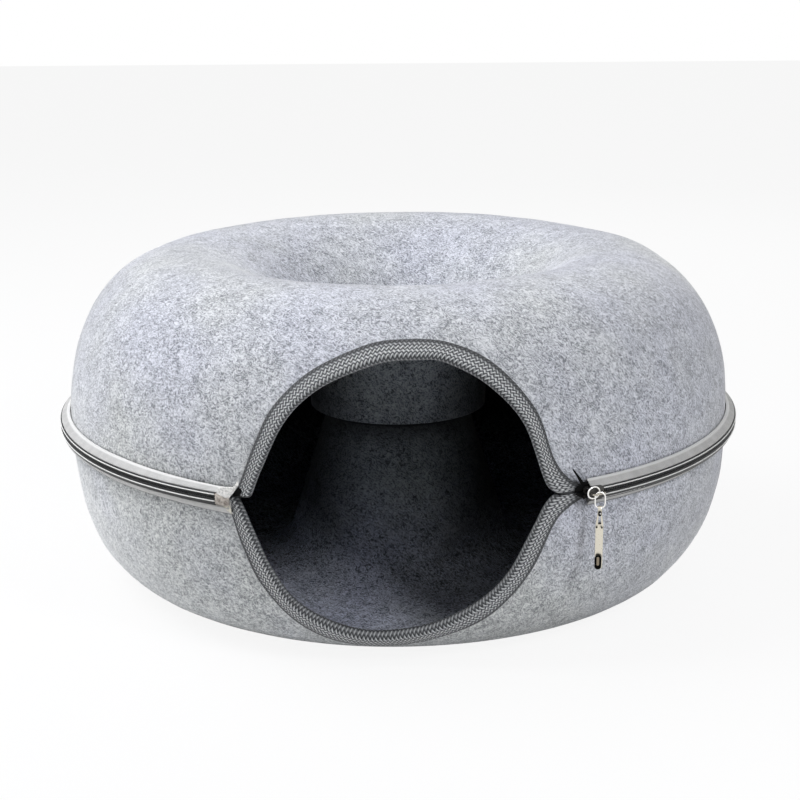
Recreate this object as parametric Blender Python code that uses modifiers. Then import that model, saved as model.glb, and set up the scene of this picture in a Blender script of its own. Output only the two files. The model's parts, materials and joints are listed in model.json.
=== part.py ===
"""Felt cat tunnel: two moulded felt half shells, zipped together round a bound entry."""

import math

import bmesh
import bpy

# The ring: all radii are from its upright axis, all levels from the zipped seam
FELT_RADIUS = 0.2414
FELT_THICKNESS = 0.0045
SEAM_GAP = 0.0003
SEAT_GAP = 0.0003
TURN_STEPS = 60
OVERRUN = 0.0300

# Upper shell: a half ring with a funnel down to the lip of the centre hole
CROWN_RADIUS = 0.1519
CROWN_HEIGHT = 0.1175
LIP_RADIUS = 0.0610
CROWN_OUTER_POWERS_SHARE = (2.176, 2.324)
CROWN_INNER_POWERS_SHARE = (1.78, 2.15)
CROWN_OUTER_STEPS = 7
CROWN_INNER_STEPS = 6

# Lower shell: a flat foot, and a cone that rises inside the upper lip
FOOT_DEPTH = 0.1185
FOOT_RADIUS = 0.1650
FOOT_POWER_SHARE = 2.45
FOOT_STEPS = 6
CONE_SLOPE = math.radians(16)
CONE_ROUND = 0.0280
CONE_ROUND_STEPS = 4
COLLAR_RISE = 0.0060
COLLAR_DROP = 0.0008

# Entry: a round hole cut from the front, its corners flared out to the zip
ENTRY_RADIUS = 0.0889
UPPER_ENTRY_RISE = 0.0870
LOWER_ENTRY_DROP = 0.0950
UPPER_ENTRY_SHIFT = 0.0022
LOWER_ENTRY_SHIFT = -0.0033
UPPER_RIGHT_FLARE = 0.0200
UPPER_LEFT_FLARE = 0.0300
LOWER_RIGHT_FLARE = 0.0320
LOWER_LEFT_FLARE = 0.0250
UPPER_RIGHT_SINK = 0.0010
UPPER_LEFT_SINK = 0.0090
LOWER_RIGHT_SINK = 0.0060
LOWER_LEFT_SINK = 0.0044
ENTRY_STEPS = 20
FLARE_STEPS = 4

# Binding: a woven band folded over the cut edge of the felt
BINDING_THICKNESS = 0.0012
BINDING_FOLD = 0.0015
BINDING_LEG = 0.0080
UPPER_RIGHT_TAIL = 0.0306
UPPER_LEFT_TAIL = 0.0400
LOWER_RIGHT_TAIL = 0.0340
LOWER_LEFT_TAIL = 0.0280
UPPER_RIGHT_TAIL_SINK = 0.0006
UPPER_LEFT_TAIL_SINK = 0.0140
LOWER_RIGHT_TAIL_SINK = -0.0030
LOWER_LEFT_TAIL_SINK = 0.0060

# Zip: two tapes that stand out from the felt as a ridge, each with a coil on its edge
CHAIN_STANDOFF = 0.0076
CHAIN_STEPS = 84
CHAIN_GAP = 0.0016
COIL_WIDTH = 0.0023
COIL_THICKNESS = 0.0021
COIL_CREST_SHARE = 0.5
TAPE_THICKNESS = 0.0006
TAPE_RIDGE = 0.0031
UPPER_TAPE_FOOT = 0.0058
LOWER_TAPE_FOOT = 0.0110
TAPE_SEAM_WIDTH = 0.0012
HEAD_SET_BACK = 0.0048
END_SET_BACK = 0.0044

# Stops: a block across both coils at one end, a small clip on each at the other
END_STOP_LENGTH = 0.0095
END_STOP_WIDTH = 0.0072
END_STOP_THICKNESS = 0.0022
END_STOP_DROP = 0.0013
HEAD_STOP_LENGTH = 0.0026
HEAD_STOP_WIDTH = 0.0026
HEAD_STOP_INSET = 0.0010
STOP_ROUND = 0.0005

# Slider: a cast body with two plates, a post between the coils and a bridge outside
SLIDER_LENGTH = 0.0106
SLIDER_SHOULDER_WIDTH = 0.0092
SLIDER_TAIL_WIDTH = 0.0084
SLIDER_CORNER_SHARE = 0.22
SLIDER_PLATE = 0.0011
SLIDER_OUTER_CLEARANCE = 0.0008
SLIDER_INNER_CLEARANCE = 0.0007
SLIDER_SIDE_CLEARANCE = 0.0004
SLIDER_END_CLEARANCE = 0.0004
SLIDER_RIM = 0.0004
POST_WIDTH = 0.0009
POST_LENGTH = 0.0036
BRIDGE_LENGTH = 0.0100
BRIDGE_THICKNESS = 0.0007
BRIDGE_WIDTH = 0.0010
BRIDGE_HEADROOM = 0.0030
BRIDGE_ROUND = 0.0018

# Pull: an oval wire link on the bridge, and a flat bar that hangs from the link
LINK_WIRE = 0.0008
LINK_WIDTH = 0.0070
LINK_HEIGHT = 0.0112
LINK_SLACK = 0.0004
LINK_TURN = math.radians(35)
LINK_BOW_STEPS = 10
EYE_BORE = 0.0022
EYE_WALL = 0.0008
EYE_WIDTH = 0.0024
EYE_SLACK = 0.0004
TAB_LENGTH = 0.0290
TAB_WIDTH = 0.0048
TAB_THICKNESS = 0.0015
TAB_ROUND_SHARE = 0.45
SHOULDER_LENGTH = 0.0090
WINDOW_MARGIN = 0.0007
RECESS_LENGTH = 0.0086
RECESS_WIDTH = 0.0034
RECESS_DEPTH = 0.0004
RECESS_MARGIN = 0.0009
ROUND_STEPS = 6

# Finishes: base colour, roughness and metallic
FELT_GREY = ((0.47, 0.49, 0.52, 1.0), 0.95, 0.0)
BINDING_GREY = ((0.12, 0.13, 0.14, 1.0), 0.85, 0.0)
TAPE_GREY = ((0.46, 0.47, 0.45, 1.0), 0.80, 0.0)
COIL_BLACK = ((0.02, 0.02, 0.02, 1.0), 0.45, 0.0)
STOP_CREAM = ((0.75, 0.70, 0.62, 1.0), 0.50, 0.0)
NICKEL = ((0.80, 0.79, 0.76, 1.0), 0.25, 1.0)
CHAMPAGNE = ((0.78, 0.74, 0.66, 1.0), 0.30, 1.0)

# Sizes that follow from the ones above
CHAIN_RADIUS = FELT_RADIUS + CHAIN_STANDOFF
TAPE_INSIDE = CHAIN_RADIUS - COIL_THICKNESS - SEAT_GAP - TAPE_THICKNESS
COIL_INSIDE = CHAIN_RADIUS - COIL_THICKNESS
OUTER_PLATE_INSIDE = CHAIN_RADIUS + SLIDER_OUTER_CLEARANCE
OUTER_PLATE_OUTSIDE = OUTER_PLATE_INSIDE + SLIDER_PLATE
INNER_PLATE_OUTSIDE = TAPE_INSIDE - SLIDER_INNER_CLEARANCE
INNER_PLATE_INSIDE = INNER_PLATE_OUTSIDE - SLIDER_PLATE
BRIDGE_RADIUS = OUTER_PLATE_OUTSIDE + BRIDGE_HEADROOM + BRIDGE_THICKNESS / 2
TAPE_START = math.asin((ENTRY_RADIUS + UPPER_RIGHT_FLARE + HEAD_SET_BACK) / CHAIN_RADIUS)
TAPE_END = math.asin((ENTRY_RADIUS + BINDING_LEG + END_SET_BACK) / FELT_RADIUS)
HEAD_STOP_AZIMUTH = TAPE_START + (HEAD_STOP_INSET + HEAD_STOP_LENGTH / 2) / CHAIN_RADIUS
COIL_START = HEAD_STOP_AZIMUTH + (HEAD_STOP_LENGTH / 2 + SEAT_GAP) / CHAIN_RADIUS
END_STOP_AZIMUTH = -TAPE_END - (HEAD_STOP_INSET + END_STOP_LENGTH / 2) / CHAIN_RADIUS
COIL_END = -END_STOP_AZIMUTH + (END_STOP_LENGTH / 2 + SEAT_GAP) / CHAIN_RADIUS
SLIDER_AZIMUTH = COIL_START + (SLIDER_END_CLEARANCE + SLIDER_LENGTH / 2) / CHAIN_RADIUS
FRONT_REACH = CHAIN_RADIUS * math.cos(TAPE_END)
AXIS_Y = (FRONT_REACH - CHAIN_RADIUS) / 2
SEAM_LEVEL = FOOT_DEPTH


def clear_scene():
    for existing in list(bpy.data.objects):
        bpy.data.objects.remove(existing, do_unlink=True)


def make_collection(name):
    collection = bpy.data.collections.new(name)
    bpy.context.scene.collection.children.link(collection)
    return collection


def make_empty(name, parent=None, location=(0, 0, 0), turn=0):
    empty = bpy.data.objects.new(name, None)
    empty.location = location
    empty.rotation_euler = (0, 0, turn)
    empty.parent = parent
    parts.objects.link(empty)
    return empty


def finish_part(part, parent, finish, location=(0, 0, 0), rotation=(0, 0, 0)):
    """Place a piece under its parent and give it a material of its own."""
    colour, roughness, metallic = finish
    material = bpy.data.materials.new(part.name + "_finish")
    material.use_nodes = True
    shader = material.node_tree.nodes["Principled BSDF"]
    shader.inputs["Base Color"].default_value = colour
    shader.inputs["Roughness"].default_value = roughness
    shader.inputs["Metallic"].default_value = metallic
    part.data.materials.clear()
    part.data.materials.append(material)
    part.parent = parent
    part.location = location
    part.rotation_euler = rotation
    return part


def as_cutter(cutter):
    cutter.hide_render = True
    cutter.display_type = "WIRE"
    parts.objects.unlink(cutter)
    cutters.objects.link(cutter)
    return cutter


def cut(part, cutter, operation="DIFFERENCE"):
    boolean = part.modifiers.new(cutter.name, "BOOLEAN")
    boolean.operation = operation
    boolean.solver = "EXACT"
    boolean.object = cutter


def mesh_object(name, mesh):
    made = bpy.data.objects.new(name, mesh)
    parts.objects.link(made)
    return made


def arc(centre, radius, start, end, steps):
    """Points along an arc in the plane of an outline, ends included."""
    points = []
    for step in range(steps + 1):
        angle = start + (end - start) * step / steps
        across = centre[0] + radius * math.cos(angle)
        up = centre[1] + radius * math.sin(angle)
        points.append((across, up))
    return points


def turned_ring(name, section, steps):
    """Turn a closed section of radius and level points once round the ring's axis."""
    builder = bmesh.new()
    corners = [builder.verts.new((radius, 0, level)) for radius, level in section]
    for first, second in zip(corners, corners[1:] + corners[:1]):
        builder.edges.new((first, second))
    mesh = bpy.data.meshes.new(name)
    builder.to_mesh(mesh)
    builder.free()
    ring = mesh_object(name, mesh)
    screw = ring.modifiers.new("Turn", "SCREW")
    screw.axis = "Z"
    screw.angle = math.tau
    screw.steps = steps
    screw.render_steps = steps
    screw.use_merge_vertices = True
    screw.merge_threshold = SEAT_GAP / steps
    return ring


def plate(name, outline, thickness, upright=True):
    """Extrude a flat outline, upright with its thickness front to back, or lying flat."""
    curve = bpy.data.curves.new(name, "CURVE")
    curve.dimensions = "2D"
    curve.fill_mode = "BOTH"
    curve.extrude = thickness / 2
    spline = curve.splines.new("POLY")
    spline.points.add(len(outline) - 1)
    for point, (across, up) in zip(spline.points, outline):
        point.co = (across, up, 0, 1)
    spline.use_cyclic_u = True
    holder = bpy.data.objects.new(name + "_outline", curve)
    if upright:
        holder.rotation_euler = (math.pi / 2, 0, 0)
    parts.objects.link(holder)
    return curve_to_mesh(name, holder)


def curve_to_mesh(name, holder):
    """Turn a curve object into a closed mesh object with its place kept."""
    bpy.context.view_layer.update()
    graph = bpy.context.evaluated_depsgraph_get()
    mesh = bpy.data.meshes.new_from_object(holder.evaluated_get(graph))
    builder = bmesh.new()
    builder.from_mesh(mesh)
    bmesh.ops.remove_doubles(builder, verts=builder.verts, dist=SEAT_GAP / TURN_STEPS)
    bmesh.ops.transform(builder, matrix=holder.matrix_world, verts=builder.verts)
    bmesh.ops.recalc_face_normals(builder, faces=builder.faces)
    builder.to_mesh(mesh)
    builder.free()
    mesh.name = name
    bpy.data.objects.remove(holder, do_unlink=True)
    return mesh_object(name, mesh)


def block(name, low, high, bevel=0):
    """A box between two corners, its edges rounded by a bevel of the given width."""
    builder = bmesh.new()
    bmesh.ops.create_cube(builder, size=1)
    size = [high[axis] - low[axis] for axis in range(3)]
    middle = [(high[axis] + low[axis]) / 2 for axis in range(3)]
    bmesh.ops.scale(builder, vec=size, verts=builder.verts)
    bmesh.ops.translate(builder, vec=middle, verts=builder.verts)
    mesh = bpy.data.meshes.new(name)
    builder.to_mesh(mesh)
    builder.free()
    made = mesh_object(name, mesh)
    if bevel:
        rounding = made.modifiers.new("Round", "BEVEL")
        rounding.width = bevel
        rounding.segments = 2
    return made


# Felt sections

def superellipse(centre_radius, end_radius, height, powers, steps):
    """A quarter of a superellipse, from its crown to its end at the seam level."""
    points = []
    for step in range(steps + 1):
        angle = math.pi / 2 * (1 - step / steps)
        across = abs(math.cos(angle)) ** (2 / powers[0])
        up = math.sin(angle) ** (2 / powers[1])
        radius = centre_radius + (end_radius - centre_radius) * across
        points.append((radius, height * up))
    return points


def upper_profile():
    """Outside of the upper shell, from its lip over the crown down to the seam."""
    funnel = []
    for step in range(CROWN_INNER_STEPS + 1):
        angle = math.pi / 2 * (1 - step / CROWN_INNER_STEPS)
        inward = math.sin(angle) ** (2 / CROWN_INNER_POWERS_SHARE[0])
        up = abs(math.cos(angle)) ** (2 / CROWN_INNER_POWERS_SHARE[1])
        radius = CROWN_RADIUS - (CROWN_RADIUS - LIP_RADIUS) * inward
        funnel.append((radius, CROWN_HEIGHT * up))
    funnel[0] = (LIP_RADIUS, 0)
    wall = superellipse(
        CROWN_RADIUS, FELT_RADIUS, CROWN_HEIGHT, CROWN_OUTER_POWERS_SHARE, CROWN_OUTER_STEPS
    )
    wall[-1] = (FELT_RADIUS, SEAM_GAP / 2)
    return funnel + wall[1:]


def lower_profile():
    """Outside of the lower shell, from the seam down to the foot and up the cone."""
    wall = superellipse(
        FOOT_RADIUS, FELT_RADIUS, -FOOT_DEPTH, (FOOT_POWER_SHARE, FOOT_POWER_SHARE), FOOT_STEPS
    )
    wall.reverse()
    wall[0] = (FELT_RADIUS, -SEAM_GAP / 2)
    collar_radius = LIP_RADIUS - SEAT_GAP - FELT_THICKNESS
    sweep = math.pi / 2 - CONE_SLOPE
    cone_rise = FOOT_DEPTH - COLLAR_DROP - CONE_ROUND * (1 - math.cos(sweep))
    cone_run = cone_rise * math.tan(CONE_SLOPE)
    round_radius = collar_radius + cone_run + CONE_ROUND * math.sin(sweep)
    round_centre = (round_radius, CONE_ROUND - FOOT_DEPTH)
    cone = arc(round_centre, CONE_ROUND, -math.pi / 2, -math.pi / 2 - sweep, CONE_ROUND_STEPS)
    collar = [(collar_radius, -COLLAR_DROP), (collar_radius, COLLAR_RISE)]
    return wall + cone + collar


def shifted(profile, distance):
    """Shift an open profile outwards, its two ends staying at their own levels."""
    normals = []
    for (radius, level), (next_radius, next_level) in zip(profile, profile[1:]):
        run = math.hypot(next_radius - radius, next_level - level)
        normals.append(((level - next_level) / run, (next_radius - radius) / run))
    points = [(profile[0][0] + distance / normals[0][0], profile[0][1])]
    for (radius, level), before, after in zip(profile[1:], normals, normals[1:]):
        mitre = 1 + before[0] * after[0] + before[1] * after[1]
        out = distance * (before[0] + after[0]) / mitre
        up = distance * (before[1] + after[1]) / mitre
        points.append((radius + out, level + up))
    points.append((profile[-1][0] + distance / normals[-1][0], profile[-1][1]))
    return points


def band_section(profile, outside, inside):
    """Closed section between a profile shifted outwards and the same shifted inwards."""
    return shifted(profile, outside) + shifted(profile, -inside)[::-1]


# Entry outlines

def flare_arc(radius, flare, level):
    """Arc that leads from the rim of the entry out to a level, and where it leaves it."""
    centre_up = level + flare
    centre_across = math.sqrt((radius + flare) ** 2 - centre_up**2)
    touch = math.atan2(centre_up, centre_across)
    bend = arc((centre_across, centre_up), flare, touch + math.pi, math.pi * 3 / 2, FLARE_STEPS)
    return bend[1:] + [(centre_across, -OVERRUN)], touch


def entry_outline(radius, left, right):
    """Upper half of the entry seen from the front; left and right: flare and its level."""
    left_bend, left_touch = flare_arc(radius, *left)
    right_bend, right_touch = flare_arc(radius, *right)
    rim = arc((0, 0), radius, math.pi - left_touch, right_touch, ENTRY_STEPS)
    return [(-across, up) for across, up in reversed(left_bend)] + rim + right_bend


def entry_cutter(name, side, radius, left, right):
    """A solid of the entry's outline that reaches through the front wall of the ring."""
    height = UPPER_ENTRY_RISE if side > 0 else LOWER_ENTRY_DROP
    shift = UPPER_ENTRY_SHIFT if side > 0 else LOWER_ENTRY_SHIFT
    stretch = side * height / ENTRY_RADIUS
    outline = [(across, up * stretch) for across, up in entry_outline(radius, left, right)]
    depth = CHAIN_RADIUS + OVERRUN - CROWN_RADIUS
    cutter = plate(name, outline, depth)
    cutter.parent = ring_centre
    cutter.location = (shift, -CROWN_RADIUS - depth / 2, 0)
    return as_cutter(cutter)


def felt_edge_cutter(name, side, growth=0):
    """The hole in the felt of one half, grown outwards by a distance."""
    if side > 0:
        left, left_sink = UPPER_LEFT_FLARE, UPPER_LEFT_SINK
        right, right_sink = UPPER_RIGHT_FLARE, UPPER_RIGHT_SINK
    else:
        left, left_sink = LOWER_LEFT_FLARE, LOWER_LEFT_SINK
        right, right_sink = LOWER_RIGHT_FLARE, LOWER_RIGHT_SINK
    return entry_cutter(
        name,
        side,
        ENTRY_RADIUS + growth,
        (left - growth, growth - left_sink),
        (right - growth, growth - right_sink),
    )


def binding_reach_cutter(name, side):
    """The outer edge of the binding, which runs out beside the zip at both corners."""
    if side > 0:
        left = (UPPER_LEFT_TAIL, -UPPER_LEFT_TAIL_SINK)
        right = (UPPER_RIGHT_TAIL, -UPPER_RIGHT_TAIL_SINK)
    else:
        left = (LOWER_LEFT_TAIL, -LOWER_LEFT_TAIL_SINK)
        right = (LOWER_RIGHT_TAIL, -LOWER_RIGHT_TAIL_SINK)
    return entry_cutter(name, side, ENTRY_RADIUS + BINDING_LEG, left, right)


# Pieces of the two halves

def make_shell(name, profile, side, parent):
    section = band_section(profile, 0, FELT_THICKNESS)
    shell = turned_ring(name, section, TURN_STEPS)
    cut(shell, felt_edge_cutter(name + "_entry", side))
    return finish_part(shell, parent, FELT_GREY)


def make_binding(name, profile, side, parent):
    """The band: a wider copy of the wall round the entry, less the felt it clasps."""
    sleeve = SEAT_GAP + BINDING_THICKNESS
    section = band_section(profile, sleeve, FELT_THICKNESS + sleeve)
    binding = turned_ring(name, section, TURN_STEPS)
    cut(binding, binding_reach_cutter(name + "_reach", side), "INTERSECT")
    cut(binding, felt_edge_cutter(name + "_hole", side, -SEAT_GAP - BINDING_FOLD))
    felt = turned_ring(
        name + "_felt", band_section(profile, SEAT_GAP, FELT_THICKNESS + SEAT_GAP), TURN_STEPS
    )
    felt.parent = parent
    cut(felt, felt_edge_cutter(name + "_edge", side, -SEAT_GAP))
    cut(binding, as_cutter(felt))
    return finish_part(binding, parent, BINDING_GREY)


def zip_gap_cutter(name, start, end):
    """A wedge over the front of the ring, where the zip leaves the entry free."""
    reach = CHAIN_RADIUS + OVERRUN
    rim = arc((0, 0), reach, -math.pi / 2 - end, -math.pi / 2 + start, FLARE_STEPS)
    wedge = plate(name, [(0, 0)] + rim, OVERRUN * 2, upright=False)
    wedge.parent = ring_centre
    return as_cutter(wedge)


def make_tape(name, side, parent):
    """Tape: flat under the coil, then sloping back to lie sewn against the felt."""
    edge = TAPE_INSIDE + TAPE_THICKNESS
    seam = FELT_RADIUS + SEAT_GAP + TAPE_THICKNESS
    foot = UPPER_TAPE_FOOT if side > 0 else LOWER_TAPE_FOOT
    line = [
        (seam, foot + TAPE_SEAM_WIDTH),
        (seam, foot),
        (edge, TAPE_RIDGE),
        (edge, CHAIN_GAP / 2),
    ]
    section = band_section(line, 0, TAPE_THICKNESS)
    if side < 0:
        section = [(radius, -level) for radius, level in reversed(section)]
    tape = turned_ring(name, section, CHAIN_STEPS)
    cut(tape, zip_gap_cutter(name + "_gap", TAPE_START, TAPE_END))
    return finish_part(tape, parent, TAPE_GREY)


def make_coil(name, side, parent):
    """Coil: a rounded bead along the edge of its tape."""
    low = CHAIN_GAP / 2
    high = low + COIL_WIDTH
    shoulder = COIL_INSIDE + COIL_THICKNESS * COIL_CREST_SHARE
    section = [
        (COIL_INSIDE, high),
        (shoulder, high),
        (CHAIN_RADIUS, (low + high) / 2),
        (shoulder, low),
        (COIL_INSIDE, low),
    ]
    if side < 0:
        section = [(radius, -level) for radius, level in reversed(section)]
    coil = turned_ring(name, section, CHAIN_STEPS)
    cut(coil, zip_gap_cutter(name + "_gap", COIL_START, COIL_END))
    return finish_part(coil, parent, COIL_BLACK)


def make_stop(name, azimuth, length, low, high, thickness, parent, finish):
    """A small block on the face of the tapes, at its azimuth from the front."""
    holder = make_empty(name + "_place", parent, turn=azimuth)
    base = TAPE_INSIDE + TAPE_THICKNESS + SEAT_GAP
    inner = (-length / 2, -base - thickness, low)
    outer = (length / 2, -base, high)
    return finish_part(block(name, inner, outer, STOP_ROUND), holder, finish)


def make_head_stop(name, side, parent):
    near = side * CHAIN_GAP / 2
    far = near + side * HEAD_STOP_WIDTH
    low, high = sorted((near, far))
    return make_stop(
        name, HEAD_STOP_AZIMUTH, HEAD_STOP_LENGTH, low, high, COIL_THICKNESS, parent, NICKEL
    )


# Slider and pull, modelled at the front of the ring: across is +X, outside is -Y

def slider_outline():
    """Plate outline: wide shoulders at the open end, a narrower rounded tail."""
    half = SLIDER_LENGTH / 2
    shoulder = SLIDER_SHOULDER_WIDTH / 2
    tail = SLIDER_TAIL_WIDTH / 2
    corner = SLIDER_LENGTH * SLIDER_CORNER_SHARE
    quarter = math.pi / 2
    top = arc((half - corner, tail - corner), corner, 0, quarter, ROUND_STEPS)
    top += arc((corner - half, shoulder - corner), corner, quarter, quarter * 2, ROUND_STEPS)
    return top + [(across, -up) for across, up in reversed(top)]


def make_slider_body(parent):
    depth = OUTER_PLATE_OUTSIDE - INNER_PLATE_INSIDE
    body = plate("slider_body", slider_outline(), depth)
    body_middle = (OUTER_PLATE_OUTSIDE + INNER_PLATE_INSIDE) / 2
    end = SLIDER_LENGTH
    channel = CHAIN_GAP / 2 + COIL_WIDTH + SLIDER_SIDE_CLEARANCE
    side_reach = SLIDER_SHOULDER_WIDTH
    post_end = -SLIDER_LENGTH / 2 + POST_LENGTH + SLIDER_PLATE
    rim = OUTER_PLATE_INSIDE - SLIDER_RIM
    hollows = [
        ((-end, -OUTER_PLATE_INSIDE, POST_WIDTH / 2), (end, -INNER_PLATE_OUTSIDE, channel)),
        ((-end, -OUTER_PLATE_INSIDE, -channel), (end, -INNER_PLATE_OUTSIDE, -POST_WIDTH / 2)),
        ((post_end, -OUTER_PLATE_INSIDE, -channel), (end, -INNER_PLATE_OUTSIDE, channel)),
        ((-end, -rim, TAPE_RIDGE), (end, -INNER_PLATE_INSIDE + SLIDER_PLATE, side_reach)),
        ((-end, -rim, -side_reach), (end, -INNER_PLATE_INSIDE + SLIDER_PLATE, -TAPE_RIDGE)),
    ]
    for number, (low, high) in enumerate(hollows, start=1):
        hollow = block(f"slider_hollow_{number}", low, high)
        hollow.parent = parent
        cut(body, as_cutter(hollow))
    return finish_part(body, parent, NICKEL, (0, -body_middle, 0))


def make_slider_bridge(parent):
    """Bridge: a strip that stands off the outer plate for the link to pass under."""
    half = BRIDGE_LENGTH / 2
    foot = OUTER_PLATE_OUTSIDE + SEAT_GAP
    crest = BRIDGE_RADIUS + BRIDGE_THICKNESS / 2
    inner_round = BRIDGE_ROUND - BRIDGE_THICKNESS
    quarter = math.pi / 2
    outer = [(half, -foot)]
    outer += arc((half - BRIDGE_ROUND, BRIDGE_ROUND - crest), BRIDGE_ROUND, 0, -quarter, ROUND_STEPS)
    inner = arc(
        (half - BRIDGE_ROUND, BRIDGE_ROUND - crest), inner_round, -quarter, 0, ROUND_STEPS
    )
    inner += [(half - BRIDGE_THICKNESS, -foot)]
    left = [(-across, up) for across, up in reversed(outer)]
    left_inner = [(-across, up) for across, up in reversed(inner)]
    outline = outer + left + left_inner + inner
    bridge = plate("slider_bridge", outline, BRIDGE_WIDTH, upright=False)
    return finish_part(bridge, parent, NICKEL)


def make_pull_link(parent):
    """Link: an oval of round wire, standing upright and turned a little to the bridge."""
    bow = (LINK_WIDTH - LINK_WIRE) / 2
    top = BRIDGE_WIDTH / 2 + LINK_SLACK + LINK_WIRE / 2
    bottom = top - (LINK_HEIGHT - LINK_WIRE)
    path = arc((0, top - bow), bow, 0, math.pi, LINK_BOW_STEPS)
    path += arc((0, bottom + bow), bow, math.pi, math.tau, LINK_BOW_STEPS)
    curve = bpy.data.curves.new("pull_link", "CURVE")
    curve.dimensions = "3D"
    curve.bevel_depth = LINK_WIRE / 2
    curve.bevel_resolution = 2
    spline = curve.splines.new("POLY")
    spline.points.add(len(path) - 1)
    for point, (across, up) in zip(spline.points, path):
        point.co = (across, 0, up, 1)
    spline.use_cyclic_u = True
    holder = bpy.data.objects.new("pull_link_wire", curve)
    parts.objects.link(holder)
    link = curve_to_mesh("pull_link", holder)
    link.data.shade_smooth()
    finish_part(link, parent, NICKEL, (0, -BRIDGE_RADIUS, 0), (0, 0, -LINK_TURN))
    return link, bottom


def tab_outline(top, shoulder_top, shoulder_bottom, bottom):
    """Tab seen from the front: eye neck, spreading shoulders and a round-ended bar."""
    neck = EYE_WIDTH / 2
    half = TAB_WIDTH / 2
    rounding = TAB_WIDTH * TAB_ROUND_SHARE
    right = [(neck, top), (neck, shoulder_top), (half, shoulder_bottom)]
    right += arc((half - rounding, bottom + rounding), rounding, 0, -math.pi / 2, ROUND_STEPS)
    return right + [(-across, up) for across, up in reversed(right)]


def make_pull_tab(link, link_bottom):
    """Tab: the eye turns on the lower bow of the link, and the bar hangs below it."""
    eye_radius = EYE_BORE / 2 + EYE_WALL
    eye_level = LINK_WIRE / 2 + EYE_SLACK - EYE_BORE / 2
    shoulder_top = eye_level - eye_radius
    shoulder_bottom = shoulder_top - SHOULDER_LENGTH
    bottom = shoulder_bottom - TAB_LENGTH
    outline = tab_outline(eye_level, shoulder_top, shoulder_bottom, bottom)
    tab = plate("pull_tab", outline, TAB_THICKNESS)
    eye_ring = eye_cylinder("pull_tab_eye", eye_radius, EYE_WIDTH, eye_level)
    bore = eye_cylinder("pull_tab_bore", EYE_BORE / 2, TAB_WIDTH, eye_level)
    foot = TAB_WIDTH / 2 - WINDOW_MARGIN * 2
    window_top = shoulder_top - WINDOW_MARGIN * 2
    window_bottom = shoulder_bottom + WINDOW_MARGIN
    tip = EYE_WIDTH / 2 - WINDOW_MARGIN
    window = plate(
        "pull_tab_window",
        [(tip, window_top), (foot, window_bottom), (-foot, window_bottom), (-tip, window_top)],
        TAB_THICKNESS * 2,
    )
    recess_centre = bottom + RECESS_MARGIN + RECESS_WIDTH / 2
    recess_top = recess_centre + RECESS_LENGTH - RECESS_WIDTH
    hollow = arc((0, recess_centre), RECESS_WIDTH / 2, -math.pi, 0, ROUND_STEPS)
    hollow += arc((0, recess_top), RECESS_WIDTH / 2, 0, math.pi, ROUND_STEPS)
    recess = plate("pull_tab_recess", hollow, TAB_THICKNESS)
    for tool, operation in (
        (eye_ring, "UNION"),
        (bore, "DIFFERENCE"),
        (window, "DIFFERENCE"),
        (recess, "DIFFERENCE"),
    ):
        tool.parent = tab
        cut(tab, as_cutter(tool), operation)
    recess.location = (0, RECESS_DEPTH - TAB_THICKNESS, 0)
    return finish_part(tab, link, CHAMPAGNE, (0, 0, link_bottom))


def eye_cylinder(name, radius, width, level):
    """A short cylinder lying across the tab at the level of its eye."""
    builder = bmesh.new()
    bmesh.ops.create_cone(
        builder, cap_ends=True, segments=ROUND_STEPS * 3, radius1=radius, radius2=radius, depth=width
    )
    mesh = bpy.data.meshes.new(name)
    builder.to_mesh(mesh)
    builder.free()
    cylinder = mesh_object(name, mesh)
    cylinder.rotation_euler = (0, math.pi / 2, 0)
    cylinder.location = (0, 0, level)
    return cylinder


clear_scene()
parts = make_collection("felt_cat_tunnel")
cutters = make_collection("cutters")
ring_centre = make_empty("ring_centre", location=(0, AXIS_Y, SEAM_LEVEL))
upper_half = make_empty("upper_half", ring_centre)
lower_half = make_empty("lower_half", ring_centre)
slider_axis = make_empty("slider_axis", ring_centre, turn=SLIDER_AZIMUTH)

make_shell("upper_shell", upper_profile(), 1, upper_half)
make_shell("lower_shell", lower_profile(), -1, lower_half)
make_binding("upper_binding", upper_profile(), 1, upper_half)
make_binding("lower_binding", lower_profile(), -1, lower_half)
make_tape("upper_zip_tape", 1, upper_half)
make_tape("lower_zip_tape", -1, lower_half)
make_coil("upper_zip_coil", 1, upper_half)
make_coil("lower_zip_coil", -1, lower_half)
make_head_stop("upper_top_stop", 1, upper_half)
make_head_stop("lower_top_stop", -1, lower_half)
make_stop(
    "bottom_stop",
    END_STOP_AZIMUTH,
    END_STOP_LENGTH,
    -END_STOP_WIDTH / 2 - END_STOP_DROP,
    END_STOP_WIDTH / 2 - END_STOP_DROP,
    END_STOP_THICKNESS,
    lower_half,
    STOP_CREAM,
)
make_slider_body(slider_axis)
make_slider_bridge(slider_axis)
pull_link, link_bottom = make_pull_link(slider_axis)
make_pull_tab(pull_link, link_bottom)
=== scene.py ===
"""Felt cat tunnel: two zipped felt halves with a bound entry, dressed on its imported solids."""

import json
import math

import bmesh
import bpy
from mathutils import Matrix, Vector, geometry, noise


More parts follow.
